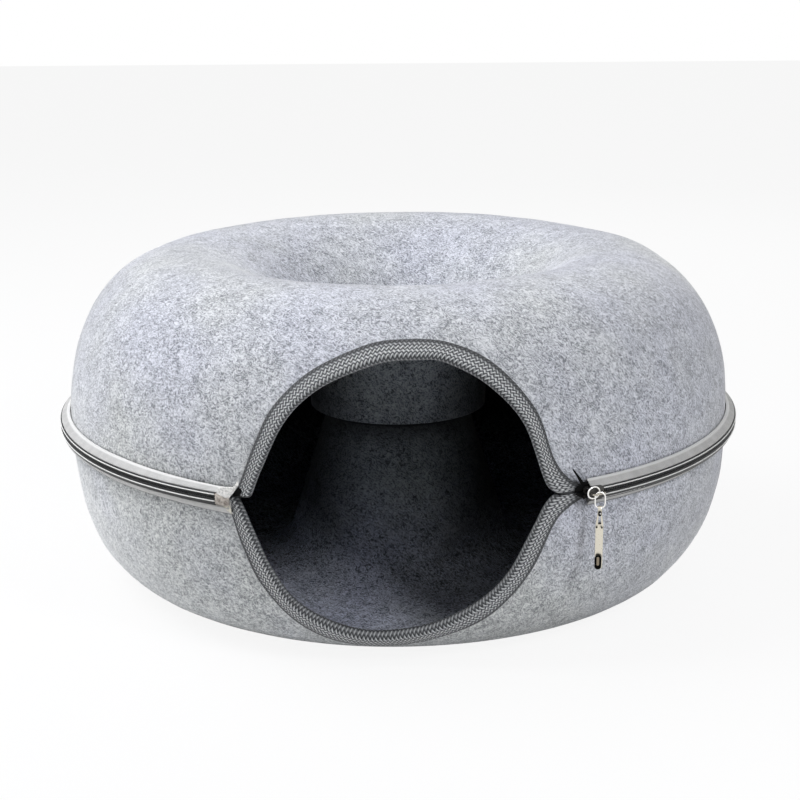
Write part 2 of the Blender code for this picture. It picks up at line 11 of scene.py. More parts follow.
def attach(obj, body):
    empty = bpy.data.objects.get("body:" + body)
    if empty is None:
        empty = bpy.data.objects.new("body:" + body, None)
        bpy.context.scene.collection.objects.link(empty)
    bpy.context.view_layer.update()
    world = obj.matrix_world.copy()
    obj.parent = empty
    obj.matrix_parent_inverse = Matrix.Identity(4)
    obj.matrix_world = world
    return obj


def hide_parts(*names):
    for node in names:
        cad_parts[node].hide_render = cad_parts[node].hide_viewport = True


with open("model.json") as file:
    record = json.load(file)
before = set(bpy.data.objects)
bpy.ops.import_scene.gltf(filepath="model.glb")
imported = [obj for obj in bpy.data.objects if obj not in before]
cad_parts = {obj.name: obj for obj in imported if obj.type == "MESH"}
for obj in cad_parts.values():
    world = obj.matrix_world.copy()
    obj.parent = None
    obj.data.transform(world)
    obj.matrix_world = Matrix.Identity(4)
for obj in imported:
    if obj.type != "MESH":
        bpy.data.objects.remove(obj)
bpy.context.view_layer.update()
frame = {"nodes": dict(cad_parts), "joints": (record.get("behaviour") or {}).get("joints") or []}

# Camera. It stands in front of the entry, 1.19 m from the middle of the ring and 15.5 degrees
# above it, and is tipped by less than half a degree. The ring's upright axis runs through ring,
# at the level of the zip, where the two halves meet.
joints = {joint["name"]: joint for joint in frame["joints"]}
ring = Vector(joints["slider_travel"]["pos_m"])
camera_distance = 1.19233
camera_rise = math.radians(15.505)
camera_roll = math.radians(-0.421)
camera = bpy.data.objects.new("camera", bpy.data.cameras.new("camera"))
camera.data.lens = 71.2
camera.data.shift_x = 0.0025
camera.location = ring + Vector((0, -math.cos(camera_rise), math.sin(camera_rise))) * camera_distance
look = (ring - camera.location).to_track_quat("-Z", "Y").to_matrix()
camera.rotation_euler = (look @ Matrix.Rotation(camera_roll, 3, "Z")).to_euler()
bpy.context.scene.collection.objects.link(camera)
bpy.context.scene.camera = camera
bpy.context.scene.view_settings.view_transform = "Standard"


# Floor. A wide white sweep, as a photographer's paper. Rays from the camera, reflections and
# glass see it as white paper with part of the ring's shadow kept; other light meets a plain pale
# matt surface, so that the floor throws back no more than paper does.
def linear(hex_colour):
    """An sRGB hex colour as linear red, green, blue and alpha."""
    shares = [int(hex_colour[start : start + 2], 16) / 255 for start in (1, 3, 5)]
    return [s / 12.92 if s <= 0.04045 else ((s + 0.055) / 1.055) ** 2.4 for s in shares] + [1]


def wire(tree, node, values, links):
    """Give a node's sockets their values and lead the links into them."""
    for socket, value in dict(values).items():
        node.inputs[socket].default_value = value
    for socket, source in dict(links).items():
        tree.links.new(source, node.inputs[socket])
    return node


def add(tree, kind, values=(), links=(), stops=(), **settings):
    """Add one node with its settings, its colour stops, its sockets' values and its links.

    A MapRange reads from 1 to 2 and gives 3 to 4. A Mix of colours has its factor at 0, its two
    colours at 6 and 7, and its result at output 2.
    """
    node = tree.nodes.new("ShaderNode" + kind)
    for name, value in settings.items():
        setattr(node, name, value)
    for index, (position, hex_colour) in enumerate(stops):
        elements = node.color_ramp.elements
        if index == 0:
            elements.remove(elements[1])
        stop = elements.new(position) if index else elements[0]
        stop.position = position
        stop.color = linear(hex_colour)
    return wire(tree, node, values, links)


def new_material(name):
    """A new material with its node tree and its Principled shader."""
    material = bpy.data.materials.new(name)
    material.use_nodes = True
    return material, material.node_tree, material.node_tree.nodes["Principled BSDF"]


def see_as_paper(tree, plain, paper, share):
    """Show the paper shader to seen rays by a share, and the plain shader to all others."""
    path = add(tree, "LightPath").outputs
    seen = add(
        tree, "Math", {}, {0: path["Is Camera Ray"], 1: path["Is Glossy Ray"]}, operation="MAXIMUM"
    ).outputs[0]
    seen = add(tree, "Math", {}, {0: seen, 1: path["Is Transmission Ray"]}, operation="MAXIMUM").outputs[0]
    part = add(tree, "Math", {1: share}, {0: seen}, operation="MULTIPLY").outputs[0]
    return add(tree, "MixShader", {}, {"Fac": part, 1: plain, 2: paper}).outputs[0]


floor_reach = 6
paper_share = 0.90
floor_builder = bmesh.new()
bmesh.ops.create_grid(floor_builder, x_segments=1, y_segments=1, size=floor_reach)
floor_mesh = bpy.data.meshes.new("floor")
floor_builder.to_mesh(floor_mesh)
floor_builder.free()
floor = bpy.data.objects.new("floor", floor_mesh)
bpy.context.scene.collection.objects.link(floor)
studio_paper, paper_tree, _ = new_material("studio_paper")
paper_tree.nodes.clear()
matt = add(paper_tree, "BsdfDiffuse", {"Color": linear("#ececec")}).outputs[0]
glow = add(paper_tree, "Emission", {"Color": linear("#ffffff"), "Strength": 1.0}).outputs[0]
add(paper_tree, "OutputMaterial", {}, {"Surface": see_as_paper(paper_tree, matt, glow, paper_share)})
floor_mesh.materials.append(studio_paper)

# Light. A white room, brighter overhead, fills softly. A wide lamp hangs overhead, one stands far
# to the left, a small one at the front right reaches through the entry to the floor inside, and
# one stands behind. Each lamp faces the middle of the ring.
world = bpy.data.worlds.new("studio")
world.use_nodes = True
room = world.node_tree
room.nodes.clear()
height = add(room, "TexCoord").outputs["Generated"]
height = add(room, "SeparateXYZ", {}, {0: height}).outputs[2]
height = add(room, "MapRange", {1: 0.35, 2: 1.0, 3: 0.04, 4: 0.52}, {0: height}).outputs[0]
fill = add(room, "Background", {"Color": linear("#ffffff")}, {"Strength": height}).outputs[0]
white = add(room, "Background", {"Color": linear("#ffffff"), "Strength": 1.0}).outputs[0]
add(room, "OutputWorld", {}, {"Surface": see_as_paper(room, fill, white, 1.0)})
bpy.context.scene.world = world
for lamp_name, place, size, watts, tint in (
    ("lamp_overhead", (-1.15, 0.05, 1.22), 1.4, 24, "#f4f6ff"),
    ("lamp_left", (-1.10, -0.25, 1.55), 0.9, 7.5, "#fffdf6"),
    ("lamp_front_right", (0.72, -0.92, 0.82), 0.30, 6.2, "#f8f9ff"),
    ("lamp_back", (0.50, 1.40, 0.90), 0.9, 4, "#ffffff"),
):
    lamp = bpy.data.lights.new(lamp_name, "AREA")
    lamp.size = size
    lamp.energy = watts
    lamp.color = linear(tint)[:3]
    lamp_object = bpy.data.objects.new(lamp_name, lamp)
    lamp_object.location = ring + Vector(place)
    lamp_object.rotation_euler = (-Vector(place)).to_track_quat("-Z", "Y").to_euler()
    bpy.context.scene.collection.objects.link(lamp_object)

# Felt halves. Each is one needle-felted sheet, 4.5 mm thick, moulded to half a ring and cut for
# the entry. The upper one dips to a lip round the centre hole, and the lower one has a flat foot
# and a cone whose collar stands inside that lip. Moulded felt is never quite true, so both are
# given slow dents of about a millimetre.
felt_radius = 0.2414
felt_thickness = 0.0045
seam_gap = 0.0003
crown_radius, crown_height = 0.1519, 0.1175
foot_radius, foot_depth = 0.1650, 0.1185
lip_radius = 0.0610
# By side, 1 above the seam and -1 below: the radius and height of the flat, then the powers of
# the curve across and up that joins it to the seam.
wall_shape = {1: (crown_radius, crown_height, 2.176, 2.324), -1: (foot_radius, foot_depth, 2.45, 2.45)}


def wall_radius(level):
    """Radius of the outside of the felt wall at a level above or below the seam."""
    inner, height, across, up = wall_shape[1 if level >= 0 else -1]
    angle = math.asin(min(1.0, abs(level) / height) ** (up / 2))
    return inner + (felt_radius - inner) * math.cos(angle) ** (2 / across)


def wall_points(side, steps):
    """The wall from its crown or foot to the seam, as radius and level."""
    inner, height, across, up = wall_shape[side]
    points = []
    for step in range(steps + 1):
        angle = math.pi / 2 * (1 - step / steps)
        radius = inner + (felt_radius - inner) * abs(math.cos(angle)) ** (2 / across)
        points.append((radius, side * height * math.sin(angle) ** (2 / up)))
    points[-1] = (felt_radius, side * seam_gap / 2)
    return points


def arc_points(centre, radius, start, end, steps):
    """Points on an arc, as radius and level."""
    angles = [start + (end - start) * step / steps for step in range(steps + 1)]
    return [(centre[0] + radius * math.cos(a), centre[1] + radius * math.sin(a)) for a in angles]


still_at_zip, dent_from_zip = 0.008, 0.030
still_on_floor, dent_from_floor = 0.001, 0.020
slow_dents, slow_depth = 11, 0.0016
quick_dents, quick_depth = 38, 0.0004
noise.seed_set(4)  # noise_vector draws its offsets from this, and from the clock without it


def dented(place):
    """Where a point of the soft felt really lies; nothing moves at the zip or on the floor."""
    from_zip = (abs(place.z - ring.z) - still_at_zip) / dent_from_zip
    from_floor = (place.z - still_on_floor) / dent_from_floor
    hold = min(1, max(0, from_zip)) * min(1, max(0, from_floor))
    slow = noise.noise_vector(place * slow_dents) * slow_depth
    quick = noise.noise_vector(place * quick_dents) * quick_depth
    return place + (slow + quick) * hold


def finish_piece(name, builder, material, body, replaced=(), smooth=True):
    """Turn a finished bmesh into a piece that rides on its body."""
    mesh = bpy.data.meshes.new(name)
    builder.to_mesh(mesh)
    builder.free()
    mesh.materials.append(material)
    if smooth:
        mesh.shade_smooth()
    piece = bpy.data.objects.new(name, mesh)
    bpy.context.scene.collection.objects.link(piece)
    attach(piece, body)
    if replaced:
        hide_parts(*replaced)
    return piece


def spin_section(points, closed, start, sweep, steps):
    """Spin a section of radius and level about the ring's axis, from an azimuth off the front."""
    builder = bmesh.new()
    out = Vector((math.sin(start), -math.cos(start), 0))
    corners = [builder.verts.new(ring + out * radius + Vector((0, 0, level))) for radius, level in points]
    pairs = list(zip(corners, corners[1:])) + ([(corners[-1], corners[0])] if closed else [])
    chain = [builder.edges.new(pair) for pair in pairs]
    whole = sweep > math.tau - 0.001
    bmesh.ops.spin(
        builder, geom=corners + chain, cent=ring, axis=(0, 0, 1), dvec=(0, 0, 0),
        angle=sweep, steps=steps, use_merge=whole, use_normal_flip=False, use_duplicate=False,
    )
    if closed and not whole:
        bmesh.ops.contextual_create(builder, geom=[e for e in builder.edges if e.is_boundary])
    bmesh.ops.recalc_face_normals(builder, faces=builder.faces)
    return builder


# Entry lines. Each half of the entry is an arch that flares at both corners out to the zip. The
# points, in millimetres across and above the seam as seen from the front, lie on the cut edge of
# the felt and on the outer edge of the binding; a smooth curve joins them.
entry_edge = {
    1: (
        (-94.5, 0), (-86.5, 20.5), (-72, 49.5), (-49, 71.5), (-15, 85.5), (11, 88), (31, 86), (57, 72),
        (80, 46.5), (93, 10), (98.5, 2), (104, 0),
    ),
    -1: (
        (-104, 0), (-99.5, -9.5), (-93.5, -25), (-83.5, -49), (-65.5, -75), (-34, -94), (-6, -99),
        (27, -90), (54, -72.5), (71, -53), (87, -20.5), (96, -5), (106, 0),
    ),
}
entry_rim = {
    1: (
        (-101.5, 0), (-95, 15.5), (-87, 36), (-75.5, 57.5), (-54, 77.5), (-27, 90), (-3, 95), (30.5, 93.5),
        (59, 80.5), (84, 53.5), (96, 21.5), (107.5, 7), (120, 1.5),
    ),
    -1: (
        (-109, 0), (-103.5, -12.5), (-98, -32), (-87, -58), (-61, -88), (-31, -103.5), (0, -105),
        (38, -92.5), (63, -75), (82.5, -48.5), (96, -19), (106, -9), (121, -2),
    ),
}
curve_steps = 24


def smooth_line(points, side, count):
    """Evenly spaced places on a smooth curve through points in millimetres, and its length."""
    knots = [Vector((across, level, 0)) / 1000 for across, level in points]
    knots = [knots[0] * 2 - knots[1]] + knots + [knots[-1] * 2 - knots[-2]]
    line = [knots[1]]
    for before, first, second, after in zip(knots, knots[1:], knots[2:], knots[3:]):
        leave, arrive = first + (second - before) / 6, second - (after - first) / 6
        line += geometry.interpolate_bezier(first, leave, arrive, second, curve_steps)[1:]
    reach = [0]
    for first, second in zip(line, line[1:]):
        reach.append(reach[-1] + (second - first).length)
    spaced, at = [], 0
    for step in range(count + 1):
        wanted = reach[-1] * step / count
        while at < len(line) - 2 and reach[at + 1] < wanted:
            at += 1
        share = (wanted - reach[at]) / max(reach[at + 1] - reach[at], 1e-9)
        place = line[at].lerp(line[at + 1], share)
        spaced.append(Vector((place.x, max(place.y * side, seam_gap / 2) * side)))
    return spaced, reach[-1]


# Needle felt of grey and white fibres: matt and slightly hairy, with curled pale and dark fibres
# 1 to 3 mm long and finer grit between them. The inside of the tunnel carries painted shade: a
# deeper and less blue tone up its cone, a near-black painted shadow just under the lip, and
# painted shade to both sides, while the floor near the entry keeps its tone. The tones lie at
# heights above the floor, in metres.
tone_reach = 0.2
inside_painted_shade_tones = (
    (0.030, "#ffffff"), (0.075, "#bcc0b8"), (0.098, "#a0a49c"), (0.1168, "#141514"), (0.1186, "#bcbfb7"),
)


def felt_material(name, dark, middle, pale, tones=()):
    """Needle felt in three greys, with a painted light cast and painted shade tones by height."""
    material, tree, shader = new_material(name)
    place = add(tree, "TexCoord").outputs["Object"]
    swirl = add(
        tree, "TexNoise", {"Scale": 320, "Detail": 3, "Roughness": 0.6, "Distortion": 1.6}, {"Vector": place}
    ).outputs[0]
    fibres = add(
        tree, "TexWave",
        {"Scale": 170, "Distortion": 16, "Detail": 2, "Detail Scale": 1.1, "Detail Roughness": 0.6},
        {"Vector": place}, wave_type="BANDS", bands_direction="DIAGONAL",
    ).outputs[0]
    grit = add(tree, "TexNoise", {"Scale": 1100, "Detail": 2, "Roughness": 0.7}, {"Vector": place}).outputs[0]
    clump = add(tree, "TexNoise", {"Scale": 85, "Detail": 2}, {"Vector": place}).outputs[0]
    felted = swirl
    for share, pattern in ((0.16, fibres), (0.14, grit), (0.16, clump)):
        felted = add(
            tree, "Mix", {"Factor": share}, {"A": felted, "B": pattern}, data_type="FLOAT"
        ).outputs[0]
    greys = ((0.38, dark), (0.49, middle), (0.62, pale))
    colour = add(tree, "ValToRGB", {}, {"Fac": felted}, greys).outputs[0]

    cloud = add(tree, "TexNoise", {"Scale": 12, "Detail": 3}, {"Vector": place}).outputs[0]
    cloud = add(tree, "MapRange", {1: 0.3, 2: 0.7}, {0: cloud}).outputs[0]
    parts = add(tree, "SeparateXYZ", {}, {0: place}).outputs
    # Painted colour cast of the light: the tint runs warmer low and to the left and cooler higher up and to
    # the right, on top of the cloud's random tint; the inside felt gets no warm end.
    painted_light_cast = add(tree, "Math", {1: 0.4}, {0: parts[0], 2: parts[2]}, operation="MULTIPLY_ADD").outputs[0]
    painted_cast_warmth = 0.0 if tones else 0.8
    painted_light_cast = add(tree, "MapRange", {1: -0.04, 2: 0.14, 3: painted_cast_warmth, 4: -0.2}, {0: painted_light_cast}).outputs[0]
    cloud = add(tree, "Math", {2: 0.0}, {0: cloud, 1: painted_light_cast}, operation="ADD", use_clamp=True).outputs[0]
    tint = add(
        tree, "Mix", {6: linear("#f8f9ff"), 7: linear("#fafbf5")}, {0: cloud}, data_type="RGBA"
    ).outputs[2]
    layers = [tint]

    # Painted shade inside: darker by height up the cone and near black just under the lip, and darker to both
    # sides except on the floor near the entry.
    if tones:
        levels = add(tree, "Math", {1: 1 / tone_reach}, {0: parts[2]}, operation="MULTIPLY").outputs[0]
        stops = [(level / tone_reach, tone) for level, tone in tones]
        layers.append(add(tree, "ValToRGB", {}, {"Fac": levels}, stops).outputs[0])
        painted_side_shade = add(tree, "Math", {}, {0: parts[0]}, operation="ABSOLUTE").outputs[0]
        painted_side_shade = add(tree, "MapRange", {1: 0.022, 2: 0.060, 3: 1.0, 4: 0.22}, {0: painted_side_shade}).outputs[0]
        ground = add(tree, "MapRange", {1: 0.015, 2: 0.060, 3: 1.0, 4: 0.0}, {0: parts[2]}).outputs[0]
        layers.append(add(tree, "Math", {}, {0: painted_side_shade, 1: ground}, operation="MAXIMUM").outputs[0])

    for layer in layers:
        colour = add(
            tree, "Mix", {0: 1.0}, {6: colour, 7: layer}, data_type="RGBA", blend_type="MULTIPLY"
        ).outputs[2]
    bump = add(tree, "Bump", {"Strength": 0.5, "Distance": 0.0006}, {"Height": felted}).outputs[0]
    finish = {
        "Roughness": 0.95, "Specular IOR Level": 0.2,
        "Sheen Weight": 0.05 if tones else 0.6, "Sheen Roughness": 0.45,
    }
    wire(tree, shader, finish, {"Base Color": colour, "Normal": bump})
    return material


needle_felt = felt_material("needle_felt", "#84868a", "#bfc1c5", "#eaebed")
painted_shade_felt = felt_material("needle_felt_inside_painted_shade", "#60636d", "#bcc0cd", "#eff2fd", inside_painted_shade_tones)

cut_steps = 180
cutter_margin, cutter_depth, cutter_drop = 0.03, 0.13, 0.02


def cut_entry(piece, side):
    """Cut the arch of the entry out of the front wall of a half."""
    line, _ = smooth_line(entry_edge[side], side, cut_steps)
    tool = bmesh.new()
    front = ring.y - felt_radius - cutter_margin
    drop = Vector((0, -side * cutter_drop))
    outline = line + [line[-1] + drop, line[0] + drop]
    face = tool.faces.new([tool.verts.new((ring.x + p.x, front, ring.z + p.y)) for p in outline])
    made = bmesh.ops.extrude_face_region(tool, geom=[face])["geom"]
    moved = [item for item in made if isinstance(item, bmesh.types.BMVert)]
    bmesh.ops.translate(tool, verts=moved, vec=(0, cutter_depth, 0))
    bmesh.ops.recalc_face_normals(tool, faces=tool.faces)
    mesh = bpy.data.meshes.new("entry_cutter")
    tool.to_mesh(mesh)
    tool.free()
    cutter = bpy.data.objects.new("entry_cutter", mesh)
    bpy.context.scene.collection.objects.link(cutter)
    boolean = piece.modifiers.new("Entry", "BOOLEAN")
    boolean.operation = "DIFFERENCE"
    boolean.solver = "EXACT"
    boolean.object = cutter
    shaped = bpy.data.meshes.new_from_object(piece.evaluated_get(bpy.context.evaluated_depsgraph_get()))
    piece.modifiers.clear()
    piece.data = shaped
    bpy.data.objects.remove(cutter)


def walls(outside):
    """Closed section of a felt sheet whose outside follows the points given; its ends are level."""
    inside = []
    for index, (radius, level) in enumerate(outside):
        before = outside[max(index - 1, 0)]
        after = outside[min(index + 1, len(outside) - 1)]
        run = math.hypot(after[0] - before[0], after[1] - before[1])
        normal = ((before[1] - after[1]) / run, (after[0] - before[0]) / run)
        fall = 0 if index in (0, len(outside) - 1) else felt_thickness * normal[1]
        inside.append((radius - felt_thickness * normal[0], level - fall))
    return outside + inside[::-1]


tunnel_radius = 0.155
felt_steps = 256


def make_felt(name, outside, side, body, node):
    """Spin one half, cut its entry, give its inner faces the painted shade inside felt and dent it."""
    builder = spin_section(walls(outside), True, math.pi, math.tau, felt_steps)
    piece = finish_piece(name, builder, needle_felt, body, [node])
    cut_entry(piece, side)
    piece.data.materials.append(painted_shade_felt)
    for face in piece.data.polygons:
        spot = face.center - ring
        out = Vector((spot.x, spot.y, 0)).normalized()
        face.material_index = 1 if face.normal.dot(spot - out * tunnel_radius) < 0 else 0
    for vertex in piece.data.vertices:
        vertex.co = dented(vertex.co)
    piece.data.shade_smooth()


funnel_steps, funnel_across, funnel_up = 24, 1.78, 2.15
funnel = []
for step in range(funnel_steps + 1):
    angle = math.pi / 2 * (1 - step / funnel_steps)
    inward = math.sin(angle) ** (2 / funnel_across)
    up = abs(math.cos(angle)) ** (2 / funnel_up)
    funnel.append((crown_radius - (crown_radius - lip_radius) * inward, crown_height * up))
funnel[0] = (lip_radius, 0)
make_felt("felt_upper", funnel + wall_points(1, 30)[1:], 1, "upper_half", "upper_shell")

# The cone narrows a little more towards its neck than its slope alone gives, so that shadow
# shows under the lip; its collar turns back out inside the lip.
cone_slope, cone_round, cone_steps = math.radians(16), 0.0280, 14
waist = 0.0075
neck_level, collar_drop, collar_rise = -0.0050, 0.0008, 0.0060
collar_radius = lip_radius - seam_gap - felt_thickness
cone_turn = math.pi / 2 - cone_slope
cone_height = foot_depth - collar_drop - cone_round * (1 - math.cos(cone_turn))
round_centre = (
    collar_radius + cone_height * math.tan(cone_slope) + cone_round * math.sin(cone_turn),
    cone_round - foot_depth,
)
cone = arc_points(round_centre, cone_round, -math.pi / 2, -math.pi / 2 - cone_turn, cone_steps)
cone = [(radius - waist * step / cone_steps, level) for step, (radius, level) in enumerate(cone)]
collar = [(collar_radius - waist, neck_level), (collar_radius, -collar_drop), (collar_radius, collar_rise)]
make_felt("felt_lower", wall_points(-1, 28)[::-1] + cone + collar, -1, "lower_half", "lower_shell")

# Binding. A woven ribbed band, 1.2 mm thick, folded over the cut edge of the felt and sewn
# through. Its face shows slanted pale dashes on dark yarn, with a plain dark selvedge.
binding_thickness = 0.0012
fold_reach = 0.0014
face_share, fold_share = 0.44, 0.66
face_crown, tuck_depth, tuck_share = 0.0003, 0.0004, 0.25
back_width_share = 0.85
slope_step = 0.0005


def on_wall(across, level, out):
    """Point in front view carried to the felt wall, then moved out along its normal."""
    radius = wall_radius(level)
    slope = (wall_radius(level + slope_step) - wall_radius(level - slope_step)) / (2 * slope_step)
    steep = math.hypot(1, slope)
    depth = -math.sqrt(radius**2 - across**2)
    normal = Vector((across / radius / steep, depth / radius / steep, -slope / steep))
    return ring + Vector((across, depth, level)) + normal * out


def band_place(edge, rim, share):
    """A point of the band at a share of its width, from its outer edge round to its inner one."""
    width = (rim - edge).length
    away = (rim - edge) / width
    proud = seam_gap + binding_thickness / 2
    if share < face_share:
        run = 1 - share / face_share
        tuck = max(0, run - (1 - tuck_share)) / tuck_share
        out = proud + face_crown * math.sin(math.pi * run) - tuck_depth * tuck**2
        return edge + away * width * run, out
    if share < fold_share:
        turn = math.pi * (share - face_share) / (fold_share - face_share)
        deep = felt_thickness / 2 + proud
        return edge - away * fold_reach * math.sin(turn), deep * math.cos(turn) - felt_thickness / 2
    run = (share - fold_share) / (1.0 - fold_share)
    return edge + away * width * back_width_share * run, -felt_thickness - proud


# The weave is mapped in millimetres: 0 along the band, 1 across it from the outer edge.
weave_width = 20
dash_pitch, row_pitch, row_sway = 2.7, 2.1, 0.50


def woven_binding():
    """Dark polyester yarn with pale slanted dashes in rows, loosely beaten up."""
    material, tree, shader = new_material("woven_polyester_binding")
    uv = add(tree, "UVMap", uv_map="weave").outputs[0]
    loose = add(tree, "TexNoise", {"Scale": 0.30, "Detail": 2}, {"Vector": uv}).outputs[1]
    loose = add(tree, "VectorMath", {1: (0.9, 0.9, 0)}, {0: loose}, operation="MULTIPLY").outputs[0]
    loose = add(tree, "VectorMath", {}, {0: uv, 1: loose}, operation="ADD").outputs[0]
    parts = add(tree, "SeparateXYZ", {}, {0: loose}).outputs

    along = add(tree, "Math", {1: math.tau / dash_pitch}, {0: parts[0]}, operation="MULTIPLY").outputs[0]
    sway = add(tree, "Math", {}, {0: along}, operation="SINE").outputs[0]
    sway = add(tree, "Math", {1: row_sway}, {0: sway}, operation="MULTIPLY").outputs[0]
    up = add(tree, "Math", {}, {0: parts[1], 1: sway}, operation="ADD").outputs[0]
    rows = add(tree, "Math", {1: math.pi / row_pitch}, {0: up}, operation="MULTIPLY").outputs[0]
    row = add(tree, "Math", {}, {0: rows}, operation="SINE").outputs[0]
    row = add(tree, "Math", {}, {0: row}, operation="ABSOLUTE").outputs[0]
    turn = add(tree, "Math", {}, {0: along, 1: rows}, operation="ADD").outputs[0]
    turn = add(tree, "Math", {}, {0: turn}, operation="SINE").outputs[0]
    turn = add(tree, "MapRange", {1: -0.9, 2: 0.9, 3: 0.58, 4: 1.0}, {0: turn}).outputs[0]
    dash = add(tree, "Math", {}, {0: row, 1: turn}, operation="MULTIPLY").outputs[0]
    hair = add(tree, "TexNoise", {"Scale": 2.2, "Detail": 3, "Roughness": 0.7}, {"Vector": uv}).outputs[0]
    dash = add(tree, "Mix", {"Factor": 0.30}, {"A": dash, "B": hair}, data_type="FLOAT").outputs[0]

    # Darker at the plain dark selvedge; painted shade at the seam, at the right tail and along the
    # fold at the inner edge.
    place = add(tree, "TexCoord").outputs["Object"]
    place = add(tree, "SeparateXYZ", {}, {0: place}).outputs
    above = add(tree, "Math", {1: ring.z}, {0: place[2]}, operation="SUBTRACT").outputs[0]
    above = add(tree, "Math", {}, {0: above}, operation="ABSOLUTE").outputs[0]
    selvedge = add(tree, "MapRange", {1: 1.0, 2: 4.2, 3: 0.42}, {0: parts[1]}).outputs[0]
    seam = add(tree, "MapRange", {1: 0.0002, 2: 0.0014, 3: 0.1}, {0: above}).outputs[0]
    tail = add(tree, "MapRange", {1: 0.106, 2: 0.117, 3: 1.0, 4: 0.25}, {0: place[0]}).outputs[0]
    inner = add(tree, "MapRange", {1: 9.0, 2: 11.5, 3: 1.0, 4: 0.75}, {0: parts[1]}).outputs[0]
    for shade in (selvedge, seam, tail, inner):
        dash = add(tree, "Math", {}, {0: dash, 1: shade}, operation="MULTIPLY").outputs[0]

    yarn = ((0.22, "#222426"), (0.48, "#717375"), (0.78, "#dcdedd"))
    colour = add(tree, "ValToRGB", {}, {"Fac": dash}, yarn).outputs[0]
    bump = add(tree, "Bump", {"Strength": 0.8, "Distance": 0.0005}, {"Height": dash}).outputs[0]
    finish = {"Roughness": 0.7, "Sheen Weight": 0.1}
    wire(tree, shader, finish, {"Base Color": colour, "Normal": bump})
    return material


def thicken(piece, thickness):
    """Give a sheet its thickness, half to each side."""
    wall = piece.modifiers.new("Thickness", "SOLIDIFY")
    wall.thickness = thickness
    wall.offset = 0


weave = woven_binding()
band_steps, band_cuts = 420, 44
for side, name, body, node in (
    (1, "binding_upper", "upper_half", "upper_binding"),
    (-1, "binding_lower", "lower_half", "lower_binding"),
):
    edge_line, length = smooth_line(entry_edge[side], side, band_steps)
    rim_line, _ = smooth_line(entry_rim[side], side, band_steps)
    builder = bmesh.new()
    bmesh.ops.create_grid(builder, x_segments=band_steps, y_segments=band_cuts, size=0.5)
    layer = builder.loops.layers.uv.new("weave")
    for face in builder.faces:
        for loop in face.loops:
            spot = loop.vert.co
            loop[layer].uv = ((spot.x + 0.5) * length * 1000, (spot.y + 0.5) * weave_width)
    for vertex in builder.verts:
        at = min(band_steps, round((vertex.co.x + 0.5) * band_steps))
        flat, out = band_place(edge_line[at], rim_line[at], vertex.co.y + 0.5)
        level = side * max(side * flat.y, seam_gap / 2)
        vertex.co = dented(on_wall(flat.x, level, out))
    bmesh.ops.recalc_face_normals(builder, faces=builder.faces)
    thicken(finish_piece(name, builder, weave, body, [node]), binding_thickness)

# Zip tapes. Each is a pale woven polyester tape, sewn flat to the felt and turned out over a
# ridge to the coil, so that it reads as a smooth raised band. Its coil edge is folded back. The
# sections run from the sewn edge to the coil, as radius and level.
tape_start = math.radians(28.8)
tape_end = math.radians(24.8)
tape_thickness = 0.0006
tape_section = {
    1: (
        (0.2418, 0.0068), (0.2430, 0.0067), (0.2437, 0.0064), (0.2441, 0.0059), (0.2462, 0.0043),
        (0.2476, 0.0035), (0.2480, 0.0031), (0.2478, 0.0027), (0.2468, 0.0025), (0.2462, 0.0010),
    ),
    -1: (
        (0.2420, -0.0108), (0.2428, -0.0102), (0.2440, -0.0092), (0.2462, -0.0072), (0.2474, -0.0060),
        (0.2477, -0.0055), (0.2475, -0.0051), (0.2466, -0.0047), (0.2462, -0.0010),
    ),
}
chain_steps = 320
lower_tilt = 0.003
# By side: the azimuth left of the front from which the sewn edge runs lower, and by how much.
tape_sag = {1: (math.radians(48), 0.0022), -1: (math.radians(37), 0.0014)}
sag_level, sag_depth = 0.0035, 0.0033


def woven_tape():
    """Pale ribbed tape, slightly soiled, painted paler on its rolled edge as a highlight.

    The lower tape is darker along its sewn edge.
    """
    material, tree, shader = new_material("woven_polyester_tape")
    uv = add(tree, "UVMap", uv_map="run").outputs[0]
    ribs = add(
        tree, "TexWave", {"Scale": 0.9, "Distortion": 0.6, "Detail": 2}, {"Vector": uv},
        wave_type="BANDS", bands_direction="X",
    ).outputs[0]
    soil = add(tree, "TexNoise", {"Scale": 0.12, "Detail": 4}, {"Vector": uv}).outputs[0]
    mixed = add(tree, "Mix", {"Factor": 0.7}, {"A": ribs, "B": soil}, data_type="FLOAT").outputs[0]
    colour = add(tree, "ValToRGB", {}, {"Fac": mixed}, ((0.25, "#adadaa"), (0.75, "#cecdca"))).outputs[0]
    parts = add(tree, "SeparateXYZ", {}, {0: uv}).outputs
    # The top edge is painted paler as a highlight; the lower tape is darker along its sewn edge.
    rolled_painted_highlight = add(tree, "MapRange", {1: 5.6, 2: 6.3}, {0: parts[1]}).outputs[0]
    sewn_edge_darkening = add(tree, "MapRange", {1: -9.3, 2: -10.0}, {0: parts[1]}).outputs[0]
    for share, shade in ((rolled_painted_highlight, "#e2e2df"), (sewn_edge_darkening, "#6a6b6b")):
        colour = add(tree, "Mix", {7: linear(shade)}, {0: share, 6: colour}, data_type="RGBA").outputs[2]
    bump = add(tree, "Bump", {"Strength": 0.3, "Distance": 0.0002}, {"Height": ribs}).outputs[0]
    wire(tree, shader, {"Roughness": 0.75}, {"Base Color": colour, "Normal": bump})
    return material


def lay_run(builder):
    """Give every face a map of millimetres along the ring and up its axis."""
    layer = builder.loops.layers.uv.new("run")
    for face in builder.faces:
        for loop in face.loops:
            spot = loop.vert.co - ring
            turn = math.atan2(spot.x, -spot.y) % math.tau
            loop[layer].uv = (turn * 250, spot.z * 1000)


def sag(builder, start, drop):
    """Let the sewn edge of a tape run lower towards the left end of the zip, past an azimuth."""
    for vertex in builder.verts:
        spot = vertex.co - ring
        turn = math.atan2(-spot.x, -spot.y)
        sewn = min(1, max(0, (abs(spot.z) - sag_level) / sag_depth))
        if turn > 0:
            vertex.co.z -= drop * sewn * max(0, start - turn) / (start - tape_end)


